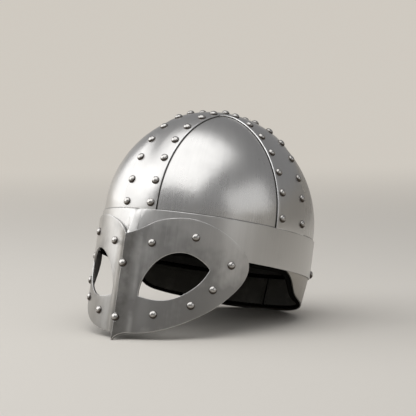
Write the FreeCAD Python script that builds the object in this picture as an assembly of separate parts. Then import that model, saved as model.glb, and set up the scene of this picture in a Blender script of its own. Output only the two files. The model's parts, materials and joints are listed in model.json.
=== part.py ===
import FreeCAD, Part
import math
import os
from BOPTools import SplitAPI

V = FreeCAD.Vector

# A riveted steel helmet with a spectacle mask and a nape guard, in millimetres.
# It is drawn as it is worn: +Z up, the face towards -Y, the lower rim of the brow band at zero height.
# At the end it is laid down as it stands on a table, on the tip of the nose and the edge of the guard.

# Skull, measured over its bands: an oval wall with half an ellipsoid on it
skull_half_width = 103.0
skull_half_length = 117.6
wall_height = 43.0
dome_height = 112.8

# Plates and leather
band_wall = 1.5
panel_wall = 1.5
guard_wall = 1.5
mask_wall = 2.0
leather_wall = 2.0

# Bands and the four windows between them
crest_half_width = 20.8
side_half_width = 23.8
sill_height = 38.6
window_corner_radius = 13.0
panel_lap = 15.0

# Nasal ridge of the mask, and the keel of the brow that it lies on
ridge_projection = 12.2
ridge_half_width = 14.0
ridge_foot_blend = 7.0

# Spectacle mask, along the oval of its outer face and up and down from the lower rim
mask_reach = 123.5
mask_rise = 33.2
nose_drop = 92.4
tip_land = 0.4
notch_rise = 12.3
wing_outline_shares = (
    (0.069, 0.521), (0.197, 0.804), (0.331, 0.949), (0.470, 1.0), (0.599, 0.934), (0.738, 0.756),
    (0.869, 0.482), (0.968, 0.169), (1.0, -0.054), (0.964, -0.224), (0.862, -0.395), (0.751, -0.536),
    (0.606, -0.668), (0.450, -0.779), (0.252, -0.870), (0.077, -0.899),
)
nose_tip_shares = ((0.077, -0.899), (0.030, -0.930), (0.0, -1.0))

# Eye openings, as shares of their width from the inner corner and of their height below the top
eye_inner_reach = 16.4
eye_top_drop = 0.4
eye_width = 67.3
eye_height = 48.1
eye_upper_shares = (
    (0.0, 0.955), (0.021, 0.679), (0.137, 0.360), (0.330, 0.107), (0.594, 0.0), (0.820, 0.080),
    (1.0, 0.265),
)
eye_lower_shares = (
    (1.0, 0.265), (0.865, 0.582), (0.661, 0.829), (0.467, 0.963), (0.244, 1.0), (0.0, 0.955),
)

# Nape guard, inside the lower rim of the brow band and drawn in towards the neck
guard_tab = 12.0
guard_depth = 31.0
guard_draw_in = 4.2
guard_front = -4.0
guard_edge_shares = (
    (0.0, 0.0), (0.060, 0.035), (0.112, 0.126), (0.161, 0.252), (0.211, 0.432), (0.259, 0.600),
    (0.328, 0.716), (0.444, 0.800), (0.552, 0.865), (0.673, 0.929), (0.794, 0.987), (0.897, 1.019),
    (1.0, 1.032),
)

# Leather: a sweat band that hangs below the rim, a gored cap, and the nape lining with its own edge
lining_rise = 1.5
sweat_band_drop = 3.5
sweat_band_height = 34.0
cap_courses = 5
cap_sides = 24
cap_seam_gap = 1.0
nape_lining_rise = 1.0
nape_lining_gap = 0.3
nape_lining_edge_shares = (
    (-0.035, 0.113), (0.035, 0.148), (0.086, 0.226), (0.129, 0.352), (0.177, 0.516), (0.224, 0.677),
    (0.302, 0.800), (0.431, 0.871), (0.552, 0.910), (0.673, 0.935), (0.794, 0.958), (0.897, 0.974),
    (1.0, 0.984),
)

# Domed rivets
rivet_radius = 4.0
rivet_height = 3.2
rivet_sides = 12
rivet_course_shares = (0.0, 0.4, 0.75)
crest_row_offset = 14.7
side_row_offset = 17.2
crest_first_height = 45.2
side_first_height = 49.0
crest_rivet_shares = (0.0, 0.141, 0.300, 0.451, 0.595, 0.751, 0.875)
side_rivet_shares = (0.0, 0.178, 0.326, 0.481, 0.628, 0.767, 0.909)
brow_rivet_distance = 2.5
mask_brow_rivet_shares = ((0.0, 0.178), (0.427, 0.473))
mask_wing_rivet_shares = ((0.845, -0.063), (0.721, -0.345), (0.565, -0.537), (0.282, -0.679))
ridge_rivet_shares = (-0.180, -0.749)
ridge_seat_depth = 1.6
ridge_seat_clearance = 0.2
guard_rivet_height = 5.0
guard_rivet_pitch = 46.0
guard_rivet_steps = (-2, -1, 0, 1, 2)

# One overrun for every cut
overrun = 14.0

crown_height = wall_height + dome_height
reach_x = skull_half_width + overrun
reach_y = skull_half_length + overrun
reach_z = crown_height + overrun
guard_tilt = guard_draw_in / guard_depth
guard_reach = guard_depth + overrun
guard_foot = skull_half_length - band_wall - guard_draw_in
guard_length = guard_foot - guard_front


def scaled(shape, x_size, y_size, z_size):
    """A unit shape stretched to three sizes."""
    matrix = FreeCAD.Matrix()
    matrix.scale(V(x_size, y_size, z_size))
    return shape.transformGeometry(matrix)


def block(x_low, x_high, y_low, y_high, z_low, z_high):
    """A box between two corners."""
    return Part.makeBox(x_high - x_low, y_high - y_low, z_high - z_low, V(x_low, y_low, z_low))


def only(shape):
    """The one solid of a cut."""
    if len(shape.Solids) != 1:
        raise ValueError("expected one solid, found %d" % len(shape.Solids))
    return shape.Solids[0]


def across(shape):
    """The same piece on the other side of the helmet."""
    return shape.mirror(V(0, 0, 0), V(1, 0, 0))


def behind(shape):
    """The same piece on the rear half of the helmet."""
    return shape.mirror(V(0, 0, 0), V(0, 1, 0))


def flat_ring(width, length, sides, height):
    """The corners of a level ring of straight sides, half as wide and half as long as given."""
    turns = [2 * math.pi * side / sides for side in range(sides)]
    return [V(width * math.sin(turn), -length * math.cos(turn), height) for turn in turns]


def flat_sided(rings):
    """A solid with flat faces from ring to ring, closed at the lowest and the highest."""
    faces = [Part.Face(Part.makePolygon(ring + ring[:1])) for ring in (rings[0], rings[-1])]
    for low, high in zip(rings, rings[1:]):
        for side in range(len(low)):
            corners = [low[side - 1], low[side], high[side], high[side - 1]]
            faces.append(Part.Face(Part.makePolygon(corners + corners[:1])))
    shell = Part.makeShell(faces)
    shell.sewShape()
    return Part.makeSolid(shell)


def oval_arc(inset, start, end, height):
    """The oval of the skull, drawn in by inset, between two angles from its front, seen from above."""
    length, width = skull_half_length - inset, skull_half_width - inset
    middle, side = V(0, 0, height), V(width, 0, height)
    if length >= width:
        return Part.Ellipse(V(0, -length, height), side, middle).toShape(start, end)
    quarter = math.pi / 2
    return Part.Ellipse(side, V(0, length, height), middle).toShape(start - quarter, end - quarter)


def oval_wire(inset, height):
    """The whole oval as a level line."""
    return Part.Wire(oval_arc(inset, 0, 2 * math.pi, height))


def oval_prism(inset, low, high):
    """The oval from one height to another."""
    return Part.Face(oval_wire(inset, low)).extrude(V(0, 0, high - low))


def skull_body(inset, low):
    """The whole skull as a solid: the oval wall and the dome on it, drawn in by inset."""
    unit = Part.makeSphere(1, V(0, 0, 0), V(0, 0, 1), 0, 90, 360)
    dome = scaled(unit, skull_half_width - inset, skull_half_length - inset, dome_height - inset)
    return oval_prism(inset, low, wall_height).fuse(dome.translated(V(0, 0, wall_height)))


def skull_shell(inset, wall, low):
    """A shell of the skull, wall thick, open at the bottom."""
    return skull_body(inset, low).cut(skull_body(inset + wall, low - overrun))


def oval_point(inset, x, height):
    """The point of the oval's front at a distance from the middle."""
    share = x / (skull_half_width - inset)
    return V(x, -(skull_half_length - inset) * math.sqrt(1 - share * share), height)


ridge_crease = -(skull_half_length + ridge_projection)
ridge_foot = oval_point(-mask_wall, ridge_half_width, 0).y
ridge_half_angle = math.atan2(ridge_half_width, ridge_foot - ridge_crease)


def ridge_points(inset, depth, lift, height):
    """The left half of the ridge's level line, crease to foot, moved in by a depth of plate.

    Lift is one for the whole ridge and zero where it has faded into the oval.
    """
    outer, inner = ridge_half_width + ridge_foot_blend, ridge_half_width - ridge_foot_blend
    crease_y = ridge_crease + depth / math.sin(ridge_half_angle)
    points = []
    for x in (0, inner):
        ridge_y = crease_y + x / math.tan(ridge_half_angle)
        plain = oval_point(inset, x, height)
        points.append(V(x, plain.y + lift * (ridge_y - plain.y), height))
    foot = oval_point(inset, outer, height)
    foot_slope = -outer / foot.y * ((skull_half_length - inset) / (skull_half_width - inset)) ** 2
    flank_slope = (points[1].y - points[0].y) / inner
    level = points[1].y - foot.y + foot_slope * (outer - inner)
    turn_x = inner + level / (foot_slope - flank_slope)
    turn = V(turn_x, points[1].y + flank_slope * (turn_x - inner), height)
    return points + [turn, foot]


def ridge_edges(inset, depth, lift, height):
    """The left half of the ridge's level line: a straight flank and its curved foot."""
    crease, flank, turn, foot = ridge_points(inset, depth, lift, height)
    curve = Part.BezierCurve()
    curve.setPoles([flank, turn, foot])
    return [Part.LineSegment(crease, flank).toShape(), curve.toShape()]


def foot_angle(inset):
    """The angle of the oval at which the ridge begins."""
    return math.asin((ridge_half_width + ridge_foot_blend) / (skull_half_width - inset))


def brow_wire(inset, depth, lift, height):
    """The closed level line of the brow: the oval with the ridge at its front."""
    ridge = ridge_edges(inset, depth, lift, height)
    start = foot_angle(inset)
    round_back = oval_arc(inset, start, 2 * math.pi - start, height)
    return Part.Wire(ridge + [round_back] + [across(edge) for edge in reversed(ridge)])


def brow_body(inset, depth, past):
    """All inside the brow: ridged up to the notch of the mask and faded into the oval at the sill."""
    wires = [brow_wire(inset, depth, 1, -past), brow_wire(inset, depth, 1, notch_rise)]
    wires.append(brow_wire(inset, depth, 0, sill_height))
    if past > 0:
        wires.append(brow_wire(inset, depth, 0, sill_height + past))
    return Part.makeLoft(wires, True, True)


def window_prism():
    """The upright prism through the window of the left front quarter, its corner at the crown rounded."""
    left, right = crest_half_width, reach_x
    rear, front = -side_half_width, -reach_y
    r = window_corner_radius
    middle = V(left + r - r * math.sin(math.pi / 4), rear - r + r * math.cos(math.pi / 4), sill_height)
    start = V(left, rear - r, sill_height)
    end = V(left + r, rear, sill_height)
    corners = [V(x, y, sill_height) for x, y in ((right, rear), (right, front), (left, front))]
    corners = [end] + corners + [start]
    edges = [Part.LineSegment(a, b).toShape() for a, b in zip(corners, corners[1:])]
    edges.append(Part.Arc(start, middle, end).toShape())
    return Part.Face(Part.Wire(edges)).extrude(V(0, 0, reach_z))


def cut_windows(shape):
    """The shape without its four windows."""
    window = window_prism()
    return shape.cut([window, across(window), behind(window), behind(across(window))])


def make_brow_band():
    """The ring round the head, raised to a keel at the front."""
    outer = brow_body(0, mask_wall, 0)
    inner = brow_body(band_wall, mask_wall + band_wall, band_wall)
    return only(outer.cut(inner))


def make_bands():
    """The crest band from the brow to the back, and the two side bands that butt against it."""
    frame = cut_windows(skull_shell(0, band_wall, sill_height))
    middle = block(-crest_half_width, crest_half_width, -reach_y, reach_y, sill_height, reach_z)
    beside = block(crest_half_width, reach_x, -reach_y, reach_y, sill_height, reach_z)
    left = only(frame.common(beside))
    return {
        "crest_band": only(frame.common(middle)),
        "side_band_left": left,
        "side_band_right": across(left),
    }


def make_quarters(shell, name, from_middle, from_sides):
    """Four quarters of a shell, set off from the middle line and from the line from ear to ear."""
    left = only(shell.common(block(from_middle, reach_x, -reach_y, -from_sides, 0, reach_z)))
    right = across(left)
    return {
        name + "_front_left": left,
        name + "_front_right": right,
        name + "_rear_left": behind(left),
        name + "_rear_right": behind(right),
    }


def on_oval(inset, reach, height):
    """A point a reach round the oval from its front, and the level direction square to it there."""
    line = oval_arc(inset, 0, math.pi, height)
    point = line.valueAt(line.getParameterByLength(abs(reach)))
    side = math.copysign(1, reach)
    across_oval = side * point.x / (skull_half_width - inset) ** 2
    along_oval = point.y / (skull_half_length - inset) ** 2
    return V(side * point.x, point.y, point.z), V(across_oval, along_oval, 0).normalize()


def on_mask(reach, height, stand):
    """A point on the mask's outer face, or standing out from it, left of the ridge or right."""
    point, direction = on_oval(-mask_wall, reach, height)
    return point + direction * stand


def mask_height(share):
    """A height on the mask: shares over zero are of its rise, the others of the drop of the nose."""
    return share * (mask_rise if share > 0 else nose_drop)


def cutting_strip(places):
    """A strip square to the mask through a smooth line of places, each a reach and a height."""
    lines = [[on_mask(reach, height, stand) for reach, height in places] for stand in (-overrun, overrun)]
    knots = [0.0]
    for a, b in zip(lines[0], lines[0][1:]):
        knots.append(knots[-1] + (b - a).Length)
    curves = []
    for line in lines:
        curve = Part.BSplineCurve()
        curve.interpolate(Points=line, Parameters=knots)
        curves.append(curve.toShape())
    return Part.makeRuledSurface(curves[0], curves[1])


def mask_strips(side):
    """The strips that cut one side of the mask from its plate: its outline and its eye opening."""
    wing = [(0, notch_rise)]
    wing += [(side * mask_reach * reach, mask_height(height)) for reach, height in wing_outline_shares]
    tip = [(side * mask_reach * reach, mask_height(height)) for reach, height in nose_tip_shares]
    outlines = [wing, tip]
    for shares in (eye_upper_shares, eye_lower_shares):
        lid = [(eye_inner_reach + eye_width * u, -(eye_top_drop + eye_height * v)) for u, v in shares]
        outlines.append([(side * reach, height) for reach, height in lid])
    return [cutting_strip(places) for places in outlines]


def mask_line(inset, depth):
    """The mask's level line, from the right side over the ridge to the left side."""
    left = ridge_edges(inset, depth, 1, -nose_drop)
    left.append(oval_arc(inset, foot_angle(inset), math.pi / 2, -nose_drop))
    return [across(edge) for edge in reversed(left)] + left


def ridge_seats():
    """The middles of the flats on the crease that the rivets of the ridge sit on."""
    return [V(0, ridge_crease + ridge_seat_depth, mask_height(share)) for share in ridge_rivet_shares]


def make_mask():
    """The spectacle mask: one plate bent round the brow and folded to a ridge down the nose."""
    edges = mask_line(-mask_wall, 0) + mask_line(0, mask_wall)
    for side in (-1, 1):
        outer = V(side * (skull_half_width + mask_wall), 0, -nose_drop)
        inner = V(side * skull_half_width, 0, -nose_drop)
        edges.append(Part.LineSegment(outer, inner).toShape())
    plan = Part.Face(Part.Wire(Part.__sortEdges__(edges)))
    plate = plan.extrude(V(0, 0, nose_drop + mask_rise + overrun))
    pieces = SplitAPI.slice(plate, mask_strips(1) + mask_strips(-1), "Split")
    probe = on_mask(mask_reach / 2, mask_rise / 2, -mask_wall / 2)
    kept = [solid for solid in pieces.Solids if solid.isInside(probe, mask_wall / 100, True)]
    radius = rivet_radius + ridge_seat_clearance
    seats = [Part.makeCylinder(radius, overrun, place, V(0, -1, 0)) for place in ridge_seats()]
    return only(Part.makeCompound(kept).common(above_table(0)).cut(seats))


def guard_body(inset, top):
    """The inside of the rim down to the neck, drawn in towards the bottom."""
    draw = guard_tilt * guard_reach
    blade = Part.makeLoft([oval_wire(inset, 0), oval_wire(inset + draw, -guard_reach)], True, True)
    return oval_prism(inset, 0, top).fuse(blade)


def guard_profile(edge_shares, top):
    """All that lies over an edge of the guard or its lining, as a prism across the helmet."""
    edge = [V(-reach_x, guard_front + u * guard_length, -v * guard_depth) for u, v in edge_shares]
    curve = Part.BSplineCurve()
    curve.interpolate(Points=edge)
    first, last = edge[0], edge[-1]
    corners = [V(-reach_x, y, z) for y, z in ((reach_y, last.z), (reach_y, top), (first.y, top))]
    corners = [last] + corners + [first]
    edges = [Part.LineSegment(a, b).toShape() for a, b in zip(corners, corners[1:])]
    outline = Part.Wire([curve.toShape()] + edges)
    return Part.Face(outline).extrude(V(2 * reach_x, 0, 0))


# The plane that the helmet stands on runs from the tip of the nose to the lower edge of the guard
tip_height = tip_land - nose_drop
rest_angle = math.atan2(-guard_depth - tip_height, guard_foot - ridge_crease)


def above_table(clearance):
    """All that lies above the table by a clearance, as the helmet is worn."""
    room = Part.makeBox(4 * reach_x, 4 * reach_y, 3 * reach_z, V(-2 * reach_x, -2 * reach_y, clearance))
    room.rotate(V(0, 0, 0), V(1, 0, 0), math.degrees(rest_angle))
    return room.translated(V(0, guard_foot, -guard_depth))


def make_guard():
    """The nape guard: a tab inside the brow band and a blade down to the neck."""
    shell = guard_body(band_wall, guard_tab).cut(guard_body(band_wall + guard_wall, reach_z))
    return only(shell.common(guard_profile(guard_edge_shares, guard_tab)).common(above_table(0)))


def make_nape_linings():
    """The leather behind the guard, in two halves with a seam at the back."""
    inset = band_wall + guard_wall + nape_lining_gap
    shell = guard_body(inset, lining_rise).cut(guard_body(inset + leather_wall, reach_z))
    shell = shell.common(guard_profile(nape_lining_edge_shares, lining_rise))
    shell = shell.common(above_table(nape_lining_rise))
    left = only(shell.common(block(0, reach_x, -reach_y, reach_y, -reach_z, reach_z)))
    return {"nape_lining_left": left, "nape_lining_right": across(left)}


def cap_body(inset, low):
    """All inside the leather cap: flat-sided rings joined by straight courses up to a flat crown."""
    width, length = skull_half_width - inset, skull_half_length - inset
    rings = [flat_ring(width, length, cap_sides, low)]
    for course in range(cap_courses):
        angle = math.pi / 2 * course / cap_courses
        height = wall_height + (dome_height - inset) * math.sin(angle)
        rings.append(flat_ring(width * math.cos(angle), length * math.cos(angle), cap_sides, height))
    return flat_sided(rings)


def make_cap_linings():
    """The sweat band and the four gores of the leather cap above it."""
    inset = band_wall + panel_wall
    sweat_band = oval_prism(inset, -sweat_band_drop, sweat_band_height)
    sweat_band = sweat_band.cut(oval_prism(inset + leather_wall, -overrun, reach_z))
    lining_front = guard_front + nape_lining_edge_shares[0][0] * guard_length - nape_lining_gap
    behind_front = block(-reach_x, reach_x, lining_front, reach_y, -overrun, lining_rise)
    sweat_band = only(sweat_band.cut(behind_front))
    shell = cap_body(inset, sweat_band_height).cut(cap_body(inset + leather_wall, 0))
    half_gap = cap_seam_gap / 2
    return {"sweat_band": sweat_band, **make_quarters(shell, "cap_lining", half_gap, half_gap)}


def rivet(point, direction):
    """A domed rivet head that sits on a point of the plate."""
    rings = []
    for share in rivet_course_shares:
        angle = share * math.pi / 2
        radius = rivet_radius * math.cos(angle)
        rings.append(flat_ring(radius, radius, rivet_sides, rivet_height * math.sin(angle)))
    head = flat_sided(rings)
    turn = FreeCAD.Rotation(V(0, 0, 1), direction)
    head.Placement = FreeCAD.Placement(point, turn)
    return head


def skull_rivet(x, y, height):
    """A rivet on the outside of the skull."""
    rise = max(height - wall_height, 0)
    direction = V(x / skull_half_width ** 2, y / skull_half_length ** 2, rise / dome_height ** 2)
    return rivet(V(x, y, height), direction)


def skull_height(x, y):
    """The height of the dome over a point of the plan."""
    share = (x / skull_half_width) ** 2 + (y / skull_half_length) ** 2
    return wall_height + dome_height * math.sqrt(1 - share)


def row_places(offset, across_size, along_size, corner, first_height, shares):
    """The places of a rivet row on the dome: distances from the middle of the helmet, and heights."""
    shrink = math.sqrt(1 - (offset / across_size) ** 2)
    run, rise = along_size * shrink, dome_height * shrink
    first = math.degrees(math.asin((first_height - wall_height) / rise))
    last = math.degrees(math.acos(corner / run))
    arc = scaled(Part.makeCircle(1, V(0, 0, 0), V(0, 0, 1), first, last), run, rise, 1).Edges[0]
    points = [arc.valueAt(arc.getParameterByLength(share * arc.Length)) for share in shares]
    return [(point.x, wall_height + point.y) for point in points]


def make_crest_rivets():
    """The two rows on each half of the crest band."""
    places = row_places(
        crest_row_offset, skull_half_width, skull_half_length, side_row_offset,
        crest_first_height, crest_rivet_shares,
    )
    front = [skull_rivet(side * crest_row_offset, -y, z) for side in (-1, 1) for y, z in places]
    return {"crest_rivets_front": group(front), "crest_rivets_rear": behind(group(front))}


def make_side_rivets():
    """The two rows on each side band."""
    places = row_places(
        side_row_offset, skull_half_length, skull_half_width, crest_row_offset,
        side_first_height, side_rivet_shares,
    )
    left = [skull_rivet(x, side * side_row_offset, z) for side in (-1, 1) for x, z in places]
    return {"side_rivets_left": group(left), "side_rivets_right": across(group(left))}


def make_crown_rivets():
    """The four rivets at the corners where the bands cross."""
    height = skull_height(crest_row_offset, side_row_offset)
    corners = [(a * crest_row_offset, b * side_row_offset) for a in (-1, 1) for b in (-1, 1)]
    return group([skull_rivet(x, y, height) for x, y in corners])


def make_mask_rivets():
    """The rivets that hold the mask to the brow, those round its wings and those on its ridge."""
    beside_ridge = ridge_half_width + ridge_foot_blend + brow_rivet_distance
    brow = [(beside_ridge + u * (mask_reach - beside_ridge), v) for u, v in mask_brow_rivet_shares]
    wing = [(mask_reach * u, v) for u, v in mask_wing_rivet_shares]
    groups = {}
    for name, places in (("mask_brow_rivets", brow), ("mask_wing_rivets", wing)):
        rivets = []
        for side in (-1, 1):
            for reach, share in places:
                rivets.append(rivet(*on_oval(-mask_wall, side * reach, mask_height(share))))
        groups[name] = group(rivets)
    groups["nose_ridge_rivets"] = group([rivet(place, V(0, -1, 0)) for place in ridge_seats()])
    return groups


def make_guard_rivets():
    """The rivets that hold the nape guard inside the brow band."""
    half_length = oval_arc(0, 0, math.pi, guard_rivet_height).Length
    rivets = []
    for step in guard_rivet_steps:
        reach = math.copysign(half_length - abs(step) * guard_rivet_pitch, step)
        rivets.append(rivet(*on_oval(0, reach, guard_rivet_height)))
    return group(rivets)


def group(solids):
    """Separate solids of one kind in one node."""
    return Part.makeCompound(solids)


def build_pieces():
    """Every piece of the helmet as it is worn, by name."""
    panels = skull_shell(band_wall, panel_wall, sill_height - panel_lap)
    panel_middle = crest_half_width - panel_lap
    panel_side = side_half_width - panel_lap
    return {
        "brow_band": make_brow_band(),
        **make_bands(),
        **make_quarters(panels, "skull_panel", panel_middle, panel_side),
        "spectacle_mask": make_mask(),
        "nape_guard": make_guard(),
        **make_cap_linings(),
        **make_nape_linings(),
        **make_crest_rivets(),
        **make_side_rivets(),
        "crown_rivets": make_crown_rivets(),
        **make_mask_rivets(),
        "nape_guard_rivets": make_guard_rivets(),
    }


def laid_down(pieces):
    """The pieces as the helmet stands: on the table, with the middle of its outer box over the origin."""
    turned = {}
    for name, shape in pieces.items():
        piece = shape.translated(V(0, -guard_foot, guard_depth))
        piece.rotate(V(0, 0, 0), V(1, 0, 0), -math.degrees(rest_angle))
        turned[name] = piece
    box = Part.makeCompound(list(turned.values())).optimalBoundingBox(False, False)
    return {name: piece.translated(V(0, -box.Center.y, 0)) for name, piece in turned.items()}


os.makedirs("parts", exist_ok=True)
for node, shape in laid_down(build_pieces()).items():
    shape.exportStep(os.path.join("parts", node + ".step"))
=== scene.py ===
"""Dresses a riveted steel spectacle helmet: brushed plates, domed rivets and a stitched black leather lining.

Lengths are in metres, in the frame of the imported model. The helmet stands on the tip of its nose and on
the edge of its nape guard, its face towards -Y and the wearer's left at +X.
"""
from __future__ import annotations

import json
import logging
import math
from dataclasses import dataclass
from enum import Enum
from typing import Any, Callable, Iterator, Sequence, Union

import bmesh
import bpy
import numpy as np
from bmesh.types import BMEdge, BMesh, BMVert
from bpy.types import Material, Mesh, Node, NodeSocket, NodeTree, Object
from mathutils import Matrix, Vector

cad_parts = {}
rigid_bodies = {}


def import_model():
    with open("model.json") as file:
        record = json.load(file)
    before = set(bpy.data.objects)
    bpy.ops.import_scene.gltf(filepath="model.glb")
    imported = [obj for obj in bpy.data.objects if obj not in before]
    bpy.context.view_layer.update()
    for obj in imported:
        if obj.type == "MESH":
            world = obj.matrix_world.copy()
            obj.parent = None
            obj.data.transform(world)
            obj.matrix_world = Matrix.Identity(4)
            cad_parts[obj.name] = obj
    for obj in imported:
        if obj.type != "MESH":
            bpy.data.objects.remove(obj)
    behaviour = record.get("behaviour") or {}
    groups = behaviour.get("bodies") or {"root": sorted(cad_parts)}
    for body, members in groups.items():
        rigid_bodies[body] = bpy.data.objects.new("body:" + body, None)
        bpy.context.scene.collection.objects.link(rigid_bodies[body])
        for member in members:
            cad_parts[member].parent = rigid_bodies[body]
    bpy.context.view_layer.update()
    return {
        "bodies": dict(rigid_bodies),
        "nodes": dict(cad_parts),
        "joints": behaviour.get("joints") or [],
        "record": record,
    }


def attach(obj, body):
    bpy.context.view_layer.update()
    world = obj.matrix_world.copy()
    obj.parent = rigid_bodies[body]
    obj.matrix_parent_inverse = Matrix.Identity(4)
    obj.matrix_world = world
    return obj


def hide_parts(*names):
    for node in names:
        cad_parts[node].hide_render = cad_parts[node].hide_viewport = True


LOG = logging.getLogger("helmet")
BODY = "root"
MM = 0.001
JOIN_DISTANCE = 0.001 * MM
MIDDLE_WIDTH = 0.05 * MM
TURN = 2.0 * math.pi
QUARTER = math.pi / 2.0
STANDING_TILT = math.radians(14.1645)
WORN_ORIGIN = Vector((0.0, 9.288 * MM, 57.440 * MM))
# Painted shade along the edges of the bands and low on their cut edges: its dark colour and its strength.
PAINTED_SHADE_TINT = (0.022, 0.019, 0.016)
PAINTED_SHADE_SHARE = 0.95
SIDES = {"left": 1.0, "right": -1.0}

Signal = Union["Wire", float]
Worn = tuple["Wire", "Wire", "Wire"]
Inputs = dict[Any, Any]
Colour = tuple[float, float, float]
Spot = tuple[float, float, float]
Span = tuple[float, float]
Row = list[Vector]
Rows = dict[str, list[Row]]
Shape = tuple[list[Vector], list[list[int]]]
Pieces = Iterator[tuple[str, Shape, list[int]]]


# Node building


def add_node(tree: NodeTree, kind: str, settings: Inputs, inputs: Inputs) -> Node:
    """Adds a node to a tree.

    Args:
        tree: The tree.
        kind: The node's type.
        settings: Its own values, such as a Math node's operation, set before its sockets.
        inputs: Values or wires of its inputs, by number or by the name of an input in use.

    Returns:
        The node.
    """
    made = tree.nodes.new(kind)
    for name, value in settings.items():
        setattr(made, name, value)
    for name, value in inputs.items():
        in_use = {item.name: item for item in made.inputs if item.enabled}
        socket = made.inputs[name] if isinstance(name, int) else in_use[name]
        if isinstance(value, Wire):
            tree.links.new(value.socket, socket)
        else:
            socket.default_value = value
    return made


def arithmetic(operation: str, swapped: bool = False) -> Callable[[Wire, Signal], Wire]:
    """A method of Wire that adds one Math node.

    Args:
        operation: The Math node's operation.
        swapped: Whether the other value comes first.

    Returns:
        The method.
    """

    def method(wire: Wire, other: Signal) -> Wire:
        """The result for the wire and another value."""
        return wire.math(operation, *((other, wire) if swapped else (wire, other)))

    return method


class Wire:
    """One output of a node, with arithmetic that adds Math nodes."""

    __add__, __radd__ = arithmetic("ADD"), arithmetic("ADD", True)
    __sub__, __rsub__ = arithmetic("SUBTRACT"), arithmetic("SUBTRACT", True)
    __mul__, __rmul__ = arithmetic("MULTIPLY"), arithmetic("MULTIPLY", True)
    __truediv__, __pow__ = arithmetic("DIVIDE"), arithmetic("POWER")
    least, most = arithmetic("MINIMUM"), arithmetic("MAXIMUM")

    def __init__(self, book: NodeBook, socket: NodeSocket) -> None:
        """Keeps the socket and the book that new nodes go into."""
        self.book, self.socket = book, socket

    def __abs__(self) -> Wire:
        """The value without its sign."""
        return self.math("ABSOLUTE", self)

    def out(self, name: str) -> Wire:
        """Another output of the same node, by name."""
        return Wire(self.book, self.socket.node.outputs[name])

    def math(self, operation: str, *values: Signal) -> Wire:
        """One Math node over the values."""
        return self.book.node("ShaderNodeMath", {"operation": operation}, dict(enumerate(values)))

    def ramp(self, low: float, high: float) -> Wire:
        """Zero up to low, one from high on, and a smooth step between."""
        inputs = {"Value": self, "From Min": low, "From Max": high}
        return self.book.node("ShaderNodeMapRange", {"interpolation_type": "SMOOTHSTEP"}, inputs)


class NodeBook:
    """Adds nodes to one tree."""

    def __init__(self, tree: NodeTree) -> None:
        """Empties the tree and keeps it."""
        tree.nodes.clear()
        self.tree = tree

    def node(self, kind: str, settings: Inputs, inputs: Inputs) -> Wire:
        """Adds a node and gives the first output that its settings leave in use."""
        made = add_node(self.tree, kind, settings, inputs)
        return Wire(self, next((socket for socket in made.outputs if socket.enabled), None))

    def mix(self, share: Signal, first: Any, second: Any) -> Wire:
        """A colour that is the first at a share of zero and the second at one."""
        ends = [value if isinstance(value, Wire) else linear(value) for value in (first, second)]
        return self.node("ShaderNodeMix", {"data_type": "RGBA"}, {0: share, 6: ends[0], 7: ends[1]})

    def vector(self, x: Signal, y: Signal, z: Signal) -> Wire:
        """A vector from three values."""
        return self.node("ShaderNodeCombineXYZ", {}, {"X": x, "Y": y, "Z": z})

    def parts(self, vector: Wire) -> Worn:
        """The three values of a vector."""
        split = self.node("ShaderNodeSeparateXYZ", {}, {"Vector": vector})
        return split, split.out("Y"), split.out("Z")

    def place(self) -> Wire:
        """The place on the piece, in metres."""
        return self.node("ShaderNodeTexCoord", {}, {}).out("Object")

    def worn_place(self) -> Worn:
        """The place on the piece as the helmet is worn, with the standing tilt turned back.

        Returns:
            The distances to the left, to the back and up from the lower rim.
        """
        origin = (0.0, -WORN_ORIGIN.y, -WORN_ORIGIN.z)
        moved = self.node("ShaderNodeVectorMath", {"operation": "ADD"}, {0: self.place(), 1: origin})
        inputs = {"Vector": moved, "Rotation": (STANDING_TILT, 0.0, 0.0)}
        return self.parts(self.node("ShaderNodeMapping", {}, inputs))

    def finish(
        self, colour: Wire, metallic: float, gloss: Signal, relief: Wire, depth: float, lift: float,
        shine: float = 0.5,
    ) -> None:
        """Closes the material with a shader.

        Args:
            colour: The base colour.
            metallic: One for metal and zero for the rest.
            gloss: The roughness.
            relief: The height that a bump reads.
            depth: The strength of the bump.
            lift: The height of the relief in metres.
            shine: The strength of the reflections of what isn't metal.
        """
        bump = self.node("ShaderNodeBump", {}, {"Strength": depth, "Distance": lift, "Height": relief})
        shader = self.node("ShaderNodeBsdfPrincipled", {}, {
            "Base Color": colour, "Metallic": metallic, "Roughness": gloss, "Normal": bump,
            "Specular IOR Level": shine,
        })
        self.node("ShaderNodeOutputMaterial", {}, {"Surface": shader})


def linear(colour: Colour) -> tuple[float, ...]:
    """A shader colour from three linear values."""
    return (*colour, 1.0)


def shaded(colour: Colour, share: float) -> Colour:
    """The colour darkened by a share."""
    return tuple(value * (1.0 - share) for value in colour)


def empty_material(name: str) -> tuple[Material, NodeBook]:
    """A new material and the book of its nodes.

    Args:
        name: The material's name.

    Returns:
        The material and the book.
    """
    material = bpy.data.materials.new(name)
    material.use_nodes = True
    return material, NodeBook(material.node_tree)


# Finishes


class Brushing(Enum):
    """Which way the brush went over a steel plate."""

    UPWARD = "up the plate, round the head from line to line"
    OVER_CREST = "along the band that runs from the brow to the back"
    OVER_SIDE = "along the bands that run from ear to ear"


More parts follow.
